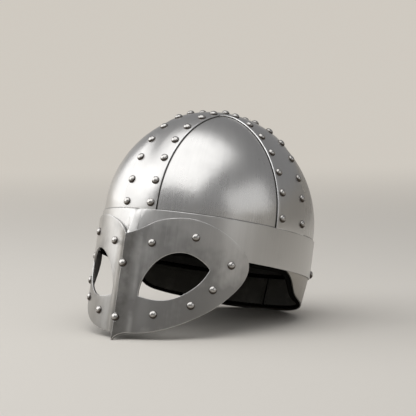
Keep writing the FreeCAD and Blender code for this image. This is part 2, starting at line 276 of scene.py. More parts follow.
@dataclass(frozen=True)
class PanelEdgeShade:
    """The painted shade along the edge of the bands, on the panel behind them, where the bands stand over it.
    """

    beside_crest: float = 20.8 * MM
    beside_sides: float = 23.8 * MM
    sill: float = 38.6 * MM
    corner: float = 13.0 * MM
    full: float = 0.45 * MM
    end: float = 1.6 * MM
    sill_share: float = 0.60

    def mask(self, worn: Worn) -> Wire:
        """One at the edge of a window and behind the bands, fading to zero inside the window.

        Args:
            worn: The distances to the left, to the back and up, as the helmet is worn.

        Returns:
            The share of painted shade.
        """
        left, back, up = worn
        across = self.corner + self.beside_crest - abs(left)
        along = self.corner + self.beside_sides - abs(back)
        rounded = (across.most(0.0) ** 2 + along.most(0.0) ** 2) ** 0.5
        inside = self.corner - rounded - across.most(along).least(0.0)
        sides = 1.0 - inside.ramp(self.full, self.end)
        return sides.most((1.0 - (up - self.sill).ramp(self.full, self.end)) * self.sill_share)


@dataclass(frozen=True)
class WallFootShade:
    """Painted shade low on the cut edges of the bands, where they stand on the panels."""

    half_width: float = 103.0 * MM
    half_length: float = 117.6 * MM
    wall: float = 43.0 * MM
    dome: float = 69.8 * MM
    reach: float = 110.0 * MM
    start: float = 0.65 * MM
    full: float = 1.0 * MM
    share: float = 1.0

    def mask(self, worn: Worn) -> Wire:
        """Zero on the outer face and one from some way under it.

        Args:
            worn: The distances to the left, to the back and up, as the helmet is worn.

        Returns:
            The share of painted shade.
        """
        left, back, up = worn
        rise = (up - self.wall).most(0.0) * (1.0 / self.dome)
        round_part = (left * (1.0 / self.half_width)) ** 2 + (back * (1.0 / self.half_length)) ** 2
        share = (round_part + rise ** 2) ** 0.5
        return ((1.0 - share) * self.reach).ramp(self.start, self.full) * self.share


@dataclass(frozen=True)
class Noise:
    """A noise texture, which two values draw into patches."""

    scale: float
    detail: float = 2.0
    rough: float = 0.5
    low: float = 0.0
    high: float = 0.0

    def at(self, book: NodeBook, place: Wire) -> Wire:
        """The noise at a place, or its patches where it has two values for them.

        Args:
            book: The book that the nodes go into.
            place: The place on the piece.

        Returns:
            The value, from zero to one.
        """
        inputs = {"Vector": place, "Scale": self.scale, "Detail": self.detail, "Roughness": self.rough}
        value = book.node("ShaderNodeTexNoise", {}, inputs)
        return value.ramp(self.low, self.high) if self.high else value


@dataclass(frozen=True)
class RidgeShade:
    """The painted shade on the flanks of the nose's ridge, and a paler streak beside it."""

    strip_full: float = 4.8 * MM
    strip_end: float = 10.4 * MM
    flank_shade_tint: Colour = (0.10, 0.095, 0.085)
    strip_least: float = 0.35
    strip_share: float = 0.42
    streak: float = 12.5 * MM
    streak_half: float = 3.5 * MM
    streak_tint: Colour = (0.95, 0.94, 0.92)
    streak_share: float = 0.22
    patches: Noise = Noise(55.0, 3.0, 0.6, 0.30, 0.62)

    def over(self, book: NodeBook, colour: Wire, left: Wire) -> Wire:
        """The colour with the strip and the streak laid over it.

        Args:
            book: The book that the nodes go into.
            colour: The colour of the mask.
            left: The distance to the left of the ridge.

        Returns:
            The new colour.
        """
        ragged = self.patches.at(book, book.place())
        # Painted shade on both flanks of the ridge.
        strip = 1.0 - abs(left).ramp(self.strip_full, self.strip_end)
        colour = book.mix(strip * (self.strip_least + ragged) * self.strip_share, colour, self.flank_shade_tint)
        streak = 1.0 - abs(abs(left) - self.streak).ramp(0.0, self.streak_half)
        return book.mix(streak * ragged * self.streak_share, colour, self.streak_tint)


@dataclass(frozen=True)
class Finish:
    """A named material."""

    name: str

    def build(self) -> Material:
        """Makes the material.

        Returns:
            The finished material.
        """
        material, book = empty_material(self.name)
        self.lay(book, book.place())
        return material

    def lay(self, book: NodeBook, place: Wire) -> None:
        """Lays out the nodes of the surface."""
        raise NotImplementedError


@dataclass(frozen=True)
class SteelFinish(Finish):
    """Satin steel with fine brush lines, faint smudges, a little age and, where set, painted shade and a
    painted reflection.
    """

    tint: Colour
    roughness: float
    brushing: Brushing = Brushing.UPWARD
    line_depth: float = 0.09
    smudge: float = 0.08
    shade: float = 0.13
    patina: float = 0.35
    # Painted reflection: how much darker the plate gets towards its lower edge.
    low_painted_reflection: float = 0.0
    painted_shade: PanelEdgeShade | WallFootShade | None = None
    ridge: RidgeShade | None = None
    along: float = 0.014
    round_head: float = 0.11
    lines: tuple[tuple[Noise, float], ...] = (
        (Noise(2400.0), 0.40), (Noise(380.0, 3.0), 0.40), (Noise(90.0), 0.20),
    )
    line_level: float = 0.70
    line_contrast: float = 0.7
    line_gloss: float = 0.09
    clouds: Noise = Noise(13.0, 4.0, 0.6, 0.40, 0.70)
    spots: Noise = Noise(190.0, 2.0, 0.6, 0.60, 0.80)
    spot_share: float = 0.08
    low_end: float = 80.0 * MM
    painted_shade_roughness: float = 0.25
    broad_relief: float = 0.8
    relief: float = 0.07 * MM

    def drawn_out(self, book: NodeBook, worn: Worn) -> Wire:
        """A place on the plate, shrunk along the brush lines so that a noise draws out into lines.

        Args:
            book: The book that the nodes go into.
            worn: The distances to the left, to the back and up, as the helmet is worn.

        Returns:
            The place that the noises of the lines read.
        """
        left, back, up = worn
        if self.brushing is Brushing.OVER_CREST:
            return book.vector(left, (back + up) * self.along, 0.0)
        if self.brushing is Brushing.OVER_SIDE:
            return book.vector(back, (left + up) * self.along, 0.0)
        flat = book.vector(left, back, 0.0)
        ring = book.parts(book.node("ShaderNodeVectorMath", {"operation": "NORMALIZE"}, {0: flat}))
        return book.vector(ring[0] * self.round_head, ring[1] * self.round_head, up * self.along)

    def lay(self, book: NodeBook, place: Wire) -> None:
        """Lays out the brush lines, the clouds of patina, the painted reflection that darkens the lower edge,
        the ridge's painted shade and the painted shade along the bands.

        Args:
            book: The book that the nodes go into.
            place: The place on the piece.
        """
        worn = book.worn_place()
        drawn = self.drawn_out(book, worn)
        fine, broad, bands = (noise.at(book, drawn) for noise, _ in self.lines)
        shares = [share for _, share in self.lines]
        lines = fine * shares[0] + broad * shares[1] + bands * shares[2]
        wear, spots = self.clouds.at(book, place), self.spots.at(book, place)
        darkening = (self.line_level - lines) * self.line_contrast + wear * self.patina + spots * self.spot_share
        # Painted reflection: darker towards the lower edge.
        darkening = darkening + (0.0 - worn[2]).ramp(0.0, self.low_end) * self.low_painted_reflection
        colour = book.mix(darkening, self.tint, shaded(self.tint, self.shade * 2.0))
        gloss = self.roughness + (lines - 0.5) * self.line_gloss + wear * self.smudge
        if self.ridge is not None:
            colour = self.ridge.over(book, colour, worn[0])
        # Painted shade along the edges of the bands, darker and rougher there.
        if self.painted_shade is not None:
            edge = self.painted_shade.mask(worn)
            colour = book.mix(edge * PAINTED_SHADE_SHARE, colour, PAINTED_SHADE_TINT)
            gloss = gloss + edge * self.painted_shade_roughness
        book.finish(colour, 1.0, gloss, fine + broad * self.broad_relief, self.line_depth, self.relief)


@dataclass(frozen=True)
class RubbedAndHighlightedEdgeFinish(Finish):
    """Steel rubbed bright along the edges of the plates: partly wear, partly a painted highlight where the
    eased edges catch the light.
    """

    # The bright tint of the eased edges: partly wear, partly painted highlight.
    tint: Colour = (0.78, 0.78, 0.775)
    dull: Colour = (0.46, 0.45, 0.44)
    roughness: float = 0.30
    spread: float = 0.2
    patches: Noise = Noise(70.0, 3.0, 0.6, 0.42, 0.68)
    patch_share: float = 0.7
    nicks: Noise = Noise(900.0, 2.0, 0.6)
    nick_share: float = 0.3
    painted_shade: WallFootShade = WallFootShade()

    def lay(self, book: NodeBook, place: Wire) -> None:
        """Lays out the dull patches, the nicks and the painted shade at the foot of the edge.

        Args:
            book: The book that the nodes go into.
            place: The place on the piece.
        """
        patches, nicks = self.patches.at(book, place), self.nicks.at(book, place)
        colour = book.mix(patches * self.patch_share + (nicks - 0.5) * self.nick_share, self.tint, self.dull)
        # Painted shade at the foot of the cut edge.
        colour = book.mix(self.painted_shade.mask(book.worn_place()) * PAINTED_SHADE_SHARE, colour, PAINTED_SHADE_TINT)
        book.finish(colour, 1.0, self.roughness + (nicks - 0.5) * self.spread, nicks, 0.2, 0.1 * MM)


@dataclass(frozen=True)
class BlackenedAndShadedFinish(Finish):
    """The dark unpolished steel of the inside of the plates: partly a blackened finish, partly painted shade
    where the inside lies in shade.
    """

    name: str = "blackened_and_shaded_inside_steel"
    tint: Colour = (0.036, 0.031, 0.026)
    rusty: Colour = (0.055, 0.036, 0.024)
    clouds: Noise = Noise(40.0, 5.0, 0.6, 0.45, 0.75)
    scale: Noise = Noise(420.0, 3.0, 0.6)
    rust_share: float = 0.7
    metallic: float = 0.8
    roughness: float = 0.50
    spread: float = 0.25

    def lay(self, book: NodeBook, place: Wire) -> None:
        """Lays out the clouds of rust and the mill scale.

        Args:
            book: The book that the nodes go into.
            place: The place on the piece.
        """
        scale = self.scale.at(book, place)
        colour = book.mix(self.clouds.at(book, place) * self.rust_share, self.tint, self.rusty)
        book.finish(colour, self.metallic, self.roughness + scale * self.spread, scale, 0.3, 0.3 * MM)


@dataclass(frozen=True)
class RivetFinish(Finish):
    """Polished steel domes with painted shade round the foot, darker on the underside."""

    name: str = "polished_rivet_steel"
    tint: Colour = (0.49, 0.477, 0.458)
    # Colour, strength and reach of the painted shade round the foot and on the underside.
    painted_shade: Colour = (0.040, 0.028, 0.020)
    painted_shade_share: float = 0.92
    painted_shade_span: Span = (0.22, 1.05)
    patches: Noise = Noise(500.0, 3.0, 0.6)
    facing_weight: float = 1.2
    facing_most: float = 0.3
    ragged: float = 0.20
    roughness: float = 0.15
    spread: float = 0.10
    painted_shade_roughness: float = 0.25

    def lay(self, book: NodeBook, place: Wire) -> None:
        """Lays out the polish and the painted shade round the foot, which reaches higher on the downward side.

        Args:
            book: The book that the nodes go into.
            place: The place on the piece.
        """
        rise = book.node("ShaderNodeAttribute", {"attribute_name": "rise"}, {}).out("Fac")
        patches = self.patches.at(book, place)
        upward = book.parts(book.node("ShaderNodeNewGeometry", {}, {}).out("Normal"))[2]
        # Painted shade: darker round the foot and on faces that turn downwards.
        unshaded = rise + upward.least(self.facing_most) * self.facing_weight + (patches - 0.5) * self.ragged
        foot = 1.0 - unshaded.ramp(*self.painted_shade_span)
        colour = book.mix(foot * self.painted_shade_share, self.tint, self.painted_shade)
        gloss = self.roughness + patches * self.spread + foot * self.painted_shade_roughness
        book.finish(colour, 1.0, gloss, patches, 0.25, 0.2 * MM)


@dataclass(frozen=True)
class LeatherFinish(Finish):
    """Black leather with a pebbled grain, rubbed a little paler on its folds."""

    name: str = "black_leather"
    tint: Colour = (0.074, 0.072, 0.064)
    worn: Colour = (0.115, 0.111, 0.099)
    grain_scale: float = 900.0
    folds: Noise = Noise(60.0, 4.0, 0.55)
    rubbed_span: Span = (0.48, 0.76)
    roughness: float = 0.55
    spread: float = 0.22
    shine: float = 0.32
    rubbed_share: float = 0.7
    rubbed_gloss: float = 0.10
    grain_relief: float = 0.7
    fold_relief: float = 0.9

    def lay(self, book: NodeBook, place: Wire) -> None:
        """Lays out the grain and the rubbed folds.

        Args:
            book: The book that the nodes go into.
            place: The place on the piece.
        """
        grain = {"Vector": place, "Scale": self.grain_scale, "Smoothness": 0.6}
        pebble = book.node("ShaderNodeTexVoronoi", {"feature": "SMOOTH_F1"}, grain)
        folds = self.folds.at(book, place)
        rubbed = folds.ramp(*self.rubbed_span)
        colour = book.mix(rubbed * self.rubbed_share, self.tint, self.worn)
        gloss = self.roughness + pebble * self.spread - rubbed * self.rubbed_gloss
        relief = pebble * self.grain_relief + folds * self.fold_relief
        book.finish(colour, 0.0, gloss, relief, 0.5, 0.4 * MM, self.shine)


@dataclass(frozen=True)
class ThreadFinish(Finish):
    """Waxed dark thread with a twist along it."""

    name: str = "waxed_thread"
    tint: Colour = (0.030, 0.027, 0.024)
    twist: Noise = Noise(2500.0)
    roughness: float = 0.45
    spread: float = 0.2

    def lay(self, book: NodeBook, place: Wire) -> None:
        """Lays out the twist.

        Args:
            book: The book that the nodes go into.
            place: The place on the piece.
        """
        twist = self.twist.at(book, place)
        colour = book.mix(twist, shaded(self.tint, 0.5), self.tint)
        book.finish(colour, 0.0, self.roughness + twist * self.spread, twist, 0.5, 0.3 * MM)


# Geometry Nodes


class NodeMaker(NodeBook):
    """Adds nodes to a geometry tree."""

    def __init__(self, name: str, sizes: dict[str, str]) -> None:
        """Starts a tree with a geometry input and output and named sizes.

        Args:
            name: The tree's name.
            sizes: The kind of each size, by its name.
        """
        super().__init__(bpy.data.node_groups.new(name, "GeometryNodeTree"))
        new_socket = self.tree.interface.new_socket
        for size, kind in {"Geometry": "Geometry", **sizes}.items():
            new_socket(size, in_out="INPUT", socket_type="NodeSocket" + kind)
        new_socket("Geometry", in_out="OUTPUT", socket_type="NodeSocketGeometry")
        self.given = self.node("NodeGroupInput", {}, {})

    def spread(self, places: dict[str, Wire], shape: Wire, material: Material) -> NodeTree:
        """Sets a smooth shape on the places, makes it real, gives it the material and ends the tree.

        Args:
            places: The points and their turn and scale, by the names of the sockets.
            shape: What is set on each point.
            material: The material of all of them.

        Returns:
            The tree.
        """
        smooth = self.node("GeometryNodeSetShadeSmooth", {}, {"Geometry": shape})
        spread = self.node("GeometryNodeInstanceOnPoints", {}, {**places, "Instance": smooth})
        real = self.node("GeometryNodeRealizeInstances", {}, {"Geometry": spread})
        dressed = self.node("GeometryNodeSetMaterial", {}, {"Geometry": real, "Material": material})
        self.node("NodeGroupOutput", {}, {"Geometry": dressed})
        return self.tree


def set_by_nodes(piece: Object, tree: NodeTree, values: dict[str, Any]) -> None:
    """Runs a geometry tree on a piece and keeps the result as plain mesh.

    Args:
        piece: The object that carries the points or lines.
        tree: The geometry tree.
        values: The tree's sizes by name.
    """
    step = piece.modifiers.new("set_out", "NODES")
    step.node_group = tree
    for item in tree.interface.items_tree:
        if item.in_out == "INPUT" and item.name in values:
            step[item.identifier] = values[item.name]
    applied(piece)


# Mesh helpers


def linked(name: str, mesh: Mesh) -> Object:
    """A new object of the scene at the origin.

    Args:
        name: The object's name.
        mesh: Its mesh.

    Returns:
        The object.
    """
    piece = bpy.data.objects.new(name, mesh)
    bpy.context.scene.collection.objects.link(piece)
    return piece


def applied(piece: Object) -> None:
    """Turns the piece's modifiers into plain mesh.

    Args:
        piece: The object, which keeps its name.
    """
    graph = bpy.context.evaluated_depsgraph_get()
    mesh = bpy.data.meshes.new_from_object(piece.evaluated_get(graph))
    piece.modifiers.clear()
    piece.data = mesh


def joined(mesh: Mesh) -> BMesh:
    """A work mesh with the loose triangles of a frame node joined.

    Args:
        mesh: The frame node's mesh, left alone.

    Returns:
        The work mesh.
    """
    work = bmesh.new()
    work.from_mesh(mesh)
    bmesh.ops.remove_doubles(work, verts=work.verts, dist=JOIN_DISTANCE)
    return work


def merged_copy(node: Object, name: str) -> Object:
    """A copy of a frame node with its loose triangles joined.

    Args:
        node: The frame's own object, left alone.
        name: The new piece's name.

    Returns:
        The new object, shaded smooth.
    """
    mesh = node.data.copy()
    mesh.name = name
    mesh.materials.clear()
    work = joined(mesh)
    for face in work.faces:
        face.smooth = True
    work.to_mesh(mesh)
    work.free()
    if "custom_normal" in mesh.attributes:
        mesh.attributes.remove(mesh.attributes["custom_normal"])
    return linked(name, mesh)


def mesh_of(name: str, shape: Shape, shades: Sequence[int], outward: bool = True) -> Mesh:
    """A smooth mesh.

    Args:
        name: The mesh's name.
        shape: Its points and its faces as lists of point numbers.
        shades: The number of each face's material.
        outward: Whether it is closed, so that its faces are turned outwards.

    Returns:
        The new mesh.
    """
    work = bmesh.new()
    points = [work.verts.new(vert) for vert in shape[0]]
    for corners, shade in zip(shape[1], shades):
        if len({tuple(points[i].co) for i in corners}) > 2:
            face = work.faces.new([points[i] for i in corners])
            face.smooth = True
            face.material_index = shade
    bmesh.ops.remove_doubles(work, verts=work.verts, dist=JOIN_DISTANCE)
    if outward:
        bmesh.ops.recalc_face_normals(work, faces=work.faces)
    mesh = bpy.data.meshes.new(name)
    work.to_mesh(mesh)
    work.free()
    return mesh


def swept(rings: Sequence[Row], closed: bool) -> Shape:
    """A tube or a flat sheet through rings of points.

    Args:
        rings: The rings, all with the same number of points.
        closed: Whether the last ring joins the first; otherwise strips across the first and the last
            ring close it, and the number of points is even.

    Returns:
        The points and the faces, with those of the strips last.
    """
    count, size = len(rings), len(rings[0])
    faces = []
    for i in range(count if closed else count - 1):
        low, high = i * size, (i + 1) % count * size
        faces += [[low + k, low + (k + 1) % size, high + (k + 1) % size, high + k] for k in range(size)]
    for low in () if closed else (0, (count - 1) * size):
        faces += [[low + k, low + k + 1, low + size - 2 - k, low + size - 1 - k] for k in range(size // 2 - 1)]
    return [point for ring in rings for point in ring], faces


def handed_over(piece: Object, slot: str, node: str | None = None) -> None:
    """Args:
        piece: The finished piece.
        slot: Its slot; not used.
        node: The frame node that it stands for, if there is one.
    """
    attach(piece, BODY)
    if node:
        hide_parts(node)
    LOG.info("%s: %d faces", piece.name, len(piece.data.polygons))


def ease(value: float) -> float:
    """A smooth step from zero to one."""
    value = min(max(value, 0.0), 1.0)
    return value * value * (3.0 - 2.0 * value)


def steps(count: int) -> list[float]:
    """Even shares from zero to one, with both ends."""
    return [step / (count - 1) for step in range(count)]


# The form of the helmet


@dataclass(frozen=True)
class SkullForm:
    """The form of the steel that the leather follows, as the helmet is worn."""

    half_width: float = 103.0 * MM
    half_length: float = 117.6 * MM
    wall: float = 43.0 * MM
    dome: float = 112.8 * MM
    draw_in: float = 4.2 / 31.0

    def stood(self, left: float, back: float, up: float) -> Vector:
        """A worn place, moved to where it is on the standing helmet."""
        return Matrix.Rotation(-STANDING_TILT, 3, "X") @ Vector((left, back, up)) + WORN_ORIGIN

    def on_wall(self, inset: float, turn: float, height: float) -> Vector:
        """A worn place on the wall of the skull, or on the guard below the rim.

        Args:
            inset: How far inside the bands.
            turn: The angle from the front, towards the wearer's left.
            height: The height over the lower rim.

        Returns:
            The place.
        """
        drawn = inset + self.draw_in * max(-height, 0.0)
        left = (self.half_width - drawn) * math.sin(turn)
        return Vector((left, -(self.half_length - drawn) * math.cos(turn), height))

    def on_dome(self, inset: float, turn: float, lift: float) -> Vector:
        """A worn place on the dome, by its turn and its lift from the wall to the crown.

        Args:
            inset: How far inside the bands.
            turn: The angle from the front, towards the wearer's left.
            lift: The angle up from the wall, a quarter turn at the crown.

        Returns:
            The place.
        """
        left = (self.half_width - inset) * math.sin(turn) * math.cos(lift)
        back = -(self.half_length - inset) * math.cos(turn) * math.cos(lift)
        return Vector((left, back, self.wall + (self.dome - inset) * math.sin(lift)))


# Steel plates


def on_middle(edge: BMEdge) -> bool:
    """Whether an edge lies in the middle plane of the helmet."""
    return max(abs(vert.co.x) for vert in edge.verts) < MIDDLE_WIDTH


@dataclass
class PlateSet:
    """Steel plates that keep their frame node's shape and get eased edges, whose bright finish is partly
    painted highlight, and a dark inside, which is partly painted shade.
    """

    nodes: tuple[str, ...]
    finish: SteelFinish
    edge: RubbedAndHighlightedEdgeFinish
    slot: str
    ease: float = 0.6 * MM
    crease_angle: float = math.radians(45.0)
    ridge_share: float = 0.25
    fold_width: float = 0.0
    fold_angles: Span = (math.radians(30.0), math.radians(60.0))
    fold_segments: int = 6
    crown_reach: float = 3.0 * MM
    centre_height: float = 20.0 * MM
    inward: float = -0.55

    def mark_edges(self, work: BMesh) -> None:
        """Sets how far each edge is eased: fully on cut edges, a little on a ridge, not at the crown.

        Args:
            work: The plate's work mesh.
        """
        layer = work.edges.layers.float.new("bevel_weight_edge")
        form = SkullForm()
        crown = form.stood(0.0, 0.0, form.wall + form.dome)
        for edge in work.edges:
            if len(edge.link_faces) < 2 or edge.calc_face_angle() < self.crease_angle:
                continue
            if ((edge.verts[0].co + edge.verts[1].co) / 2.0 - crown).length >= self.crown_reach:
                edge[layer] = self.ridge_share if on_middle(edge) else 1.0

    def round_fold(self, work: BMesh) -> None:
        """Rounds the fold down the middle of the front, if the plate has one.

        Args:
            work: The plate's work mesh.
        """
        least, most = self.fold_angles
        folds = [
            edge for edge in work.edges
            if len(edge.link_faces) == 2 and least < edge.calc_face_angle() < most and on_middle(edge)
        ]
        if self.fold_width and folds:
            sizes = {"offset": self.fold_width, "segments": self.fold_segments, "profile": 0.5}
            bmesh.ops.bevel(work, geom=folds, affect="EDGES", **sizes)

    def blacken_and_shade_inside(self, work: BMesh) -> None:
        """Gives the faces that look into the helmet the third material, the dark steel that is partly painted
        shade.

        Args:
            work: The plate's work mesh.
        """
        middle = SkullForm().stood(0.0, 0.0, self.centre_height)
        for face in work.faces:
            away = (face.calc_center_median() - middle).normalized()
            if face.normal.dot(away) < self.inward:
                face.material_index = 2

    def ease_edges(self, piece: Object) -> None:
        """Eases the marked edges, and keeps the plate inside its own box.

        Args:
            piece: The plate, with its edges marked.
        """
        columns = list(zip(*(vert.co for vert in piece.data.vertices)))
        box = [(min(column), max(column)) for column in columns]
        bevel = piece.modifiers.new("eased_edges", "BEVEL")
        bevel.width = self.ease
        bevel.segments = 2
        bevel.limit_method = "WEIGHT"
        bevel.material = 1
        bevel.use_clamp_overlap = False
        piece.modifiers.new("even_shading", "WEIGHTED_NORMAL").weight = 60
        applied(piece)
        for vert in piece.data.vertices:
            vert.co = [min(max(value, low), high) for value, (low, high) in zip(vert.co, box)]

    def build(self, frame: dict[str, Any], inside: Material) -> None:
        """Makes one piece for each plate.

        Args:
            inside: The steel of the inner faces.
        """
        materials = (self.finish.build(), self.edge.build(), inside)
        for node in self.nodes:
            piece = merged_copy(frame["nodes"][node], node + "_steel")
            for material in materials:
                piece.data.materials.append(material)
            work = bmesh.new()
            work.from_mesh(piece.data)
            self.round_fold(work)
            self.mark_edges(work)
            self.blacken_and_shade_inside(work)
            work.to_mesh(piece.data)
            work.free()
            self.ease_edges(piece)
            handed_over(piece, self.slot, node)


# Rivets


@dataclass(frozen=True)
class RivetSeat:
    """Where one head sits: the middle of its foot and the way it points."""

    foot: Vector
    axis: Vector
    radius: float
    height: float


def islands(work: BMesh) -> list[list[BMVert]]:
    """The separate parts of a mesh, as lists of vertices.

    Args:
        work: The mesh.

    Returns:
        One list for each part.
    """
    found, left = [], set(work.verts)
    for start in work.verts:
        if start not in left:
            continue
        left.remove(start)
        part = [start]
        for vert in part:
            beside = [edge.other_vert(vert) for edge in vert.link_edges]
            fresh = [other for other in beside if other in left]
            left.difference_update(fresh)
            part += fresh
        found.append(part)
    return found


@dataclass
class Rivets:
    """Rows of domed rivets, set by Geometry Nodes where the frame's plain heads are."""

    nodes: tuple[str, ...]
    finish: RivetFinish
    segments: int = 32
    rings: int = 18
    skirt: float = 0.4 * MM
    deep_skirt: float = 2.6 * MM
    deep_nodes: tuple[str, ...] = ("nose_ridge_rivets",)
    narrowest: float = 0.02
    spin: float = 6.28
    seed: int = 7
    middle: Spot = (0.0, 0.01, 0.09)

    def seats(self, node: Object) -> list[RivetSeat]:
        """Reads where the heads of one frame node sit.

        Args:
            node: The frame's object with separate plain heads.

        Returns:
            One seat for each head.
        """
        work = joined(node.data)
        seats = []
        for part in islands(work):
            points = np.array([vert.co[:] for vert in part])
            centre = points.mean(axis=0)
            axis = np.linalg.svd(points - centre)[2][2]
            if axis @ (centre - np.array(self.middle)) < 0:
                axis = -axis
            rise = (points - centre) @ axis
            spread = np.linalg.norm((points - centre) - np.outer(rise, axis), axis=1)
            foot = Vector(centre + axis * rise.min())
            seats.append(RivetSeat(foot, Vector(axis), float(spread.max()), float(rise.max() - rise.min())))
        work.free()
        return seats

    def tree(self, material: Material) -> NodeTree:
        """The nodes that set a dome with a short skirt on every seat.

        Args:
            material: The steel of the domes.

        Returns:
            The tree.
        """
        sizes = dict.fromkeys(("Radius", "Height", "Skirt"), "Float")
        make = NodeMaker("domed_rivets", {**sizes, **dict.fromkeys(("Segments", "Rings", "Seed"), "Int")})
        given = make.given
        round_sizes = {"Segments": given.out("Segments"), "Rings": given.out("Rings"), "Radius": 1.0}
        ball = make.node("GeometryNodeMeshUVSphere", {}, round_sizes)
        x, y, z = make.parts(make.node("GeometryNodeInputPosition", {}, {}))
        rise, sink = z.most(0.0), z.least(0.0)
        wide = given.out("Radius") / (1.0 - sink * sink).most(self.narrowest) ** 0.5
        moved = make.vector(x * wide, y * wide, rise * given.out("Height") + sink * given.out("Skirt"))
        marked = make.node(
            "GeometryNodeStoreNamedAttribute", {"data_type": "FLOAT", "domain": "POINT"},
            {"Geometry": ball, "Name": "rise", "Value": rise},
        )
        dome = make.node("GeometryNodeSetPosition", {}, {"Geometry": marked, "Position": moved})
        axis = make.node("GeometryNodeInputNamedAttribute", {"data_type": "FLOAT_VECTOR"}, {"Name": "axis"})
        lean = make.node("FunctionNodeAlignEulerToVector", {"axis": "Z"}, {"Vector": axis})
        ends = {"Max": self.spin, "Seed": given.out("Seed")}
        spin = make.node("FunctionNodeRandomValue", {"data_type": "FLOAT"}, ends).out("Value")
        turns = {0: lean, 1: make.vector(0.0, 0.0, spin)}
        turned = make.node("FunctionNodeRotateEuler", {"space": "LOCAL"}, turns)
        return make.spread({"Points": given, "Rotation": turned}, dome, material)

    def build(self, frame: dict[str, Any]) -> None:
        """Makes one piece for each group of rivets.
        """
        tree = self.tree(self.finish.build())
        for node in self.nodes:
            seats = self.seats(frame["nodes"][node])
            mesh = bpy.data.meshes.new(node + "_domes")
            mesh.from_pydata([seat.foot[:] for seat in seats], [], [])
            axes = mesh.attributes.new("axis", "FLOAT_VECTOR", "POINT")
            axes.data.foreach_set("vector", [value for seat in seats for value in seat.axis])
            piece = linked(node + "_domes", mesh)
            set_by_nodes(piece, tree, {
                "Radius": seats[0].radius,
                "Height": seats[0].height,
                "Skirt": self.deep_skirt if node in self.deep_nodes else self.skirt,
                "Segments": self.segments,
                "Rings": self.rings,
                "Seed": self.seed,
            })
            handed_over(piece, "rivets", node)


# Leather


@dataclass
class Stitching:
    """Rows of stitches along lines, set by Geometry Nodes."""

    finish: ThreadFinish = ThreadFinish()
    pitch: float = 4.2 * MM
    length: float = 2.9 * MM
    thickness: float = 0.8 * MM
    shortest: float = 0.9
    longest: float = 1.1
    seed: int = 11

    def tree(self, material: Material) -> NodeTree:
        """The nodes that lay a stitch at every pitch of each line.

        Args:
            material: The thread.

        Returns:
            The tree.
        """
        sizes = dict.fromkeys(("Pitch", "Length", "Thickness"), "Float")
        make = NodeMaker("stitch_rows", {**sizes, "Seed": "Int"})
        given = make.given
        line = make.node("GeometryNodeMeshToCurve", {}, {"Mesh": given})
        pitch = {"Curve": line, "Length": given.out("Pitch")}
        even = make.node("GeometryNodeResampleCurve", {"mode": "LENGTH"}, pitch)
        ball = make.node("GeometryNodeMeshUVSphere", {}, {"Segments": 6, "Rings": 5, "Radius": 0.5})
        along = make.node("GeometryNodeInputTangent", {}, {})
        lean = make.node("FunctionNodeAlignEulerToVector", {"axis": "X"}, {"Vector": along})
        size = make.vector(given.out("Length"), given.out("Thickness"), given.out("Thickness"))
        ends = {"Min": self.shortest, "Max": self.longest, "Seed": given.out("Seed")}
        vary = make.node("FunctionNodeRandomValue", {"data_type": "FLOAT"}, ends).out("Value")
        scale = make.node("ShaderNodeVectorMath", {"operation": "SCALE"}, {0: size, "Scale": vary})
        return make.spread({"Points": even, "Rotation": lean, "Scale": scale}, ball, material)

    def build(self, rows: Rows) -> None:
        """Makes one piece of thread for each group of lines.

        Args:
            rows: Lists of lines by the piece's name.
        """
        tree = self.tree(self.finish.build())
        sizes = {"Pitch": self.pitch, "Length": self.length, "Thickness": self.thickness, "Seed": self.seed}
        for name, lines in rows.items():
            verts, edges = [], []
            for line in lines:
                edges += [(len(verts) + i, len(verts) + i + 1) for i in range(len(line) - 1)]
                verts += [point[:] for point in line]
            mesh = bpy.data.meshes.new(name)
            mesh.from_pydata(verts, edges, [])
            piece = linked(name, mesh)
            set_by_nodes(piece, tree, sizes)
            handed_over(piece, "leather")


@dataclass
class Lining:
    """A part of the leather lining, which follows the steel."""

    form: SkullForm

    def build(self, leathers: Sequence[Material]) -> Rows:
        """Makes the leather pieces.

        Args:
            leathers: The leather of the faces and the darker leather of the trims, which also stands as painted
                shade on faces tucked against the steel and along the seam.

        Returns:
            The lines that are stitched, by the name of their thread.
        """
        for node, shape, shades in self.pieces():
            title = node + "_leather"
            piece = linked(title, mesh_of(title, shape, shades))
            for leather in leathers:
                piece.data.materials.append(leather)
            handed_over(piece, "leather", node)
        return self.stitched()

    def pieces(self) -> Pieces:
        """Each piece's frame node and shape, and which of the leathers each face has."""
        raise NotImplementedError

    def stitched(self) -> Rows:
        """The lines that are stitched, by the name of their thread."""
        raise NotImplementedError


@dataclass
class SheetLining(Lining):
    """A lining of sheets with an outer face at one inset and a padded inner face."""

    outer: float

    def place(self, turn: float, share: float, inset: float | None = None) -> Vector:
        """A place on a sheet, on its inner face where no inset is given."""
        raise NotImplementedError

    def sheet(self, turns: Sequence[float], shares: Sequence[float]) -> Shape:
        """A closed sheet over all the turns and shares.

        Args:
            turns: The turns of the columns.
            shares: The shares of the rows.

        Returns:
            The points and the faces, the outer face's points first in each row.
        """
        return swept([
            [self.place(turn, share, self.outer) for turn in turns]
            + [self.place(turn, share) for turn in reversed(turns)] for share in shares
        ], False)


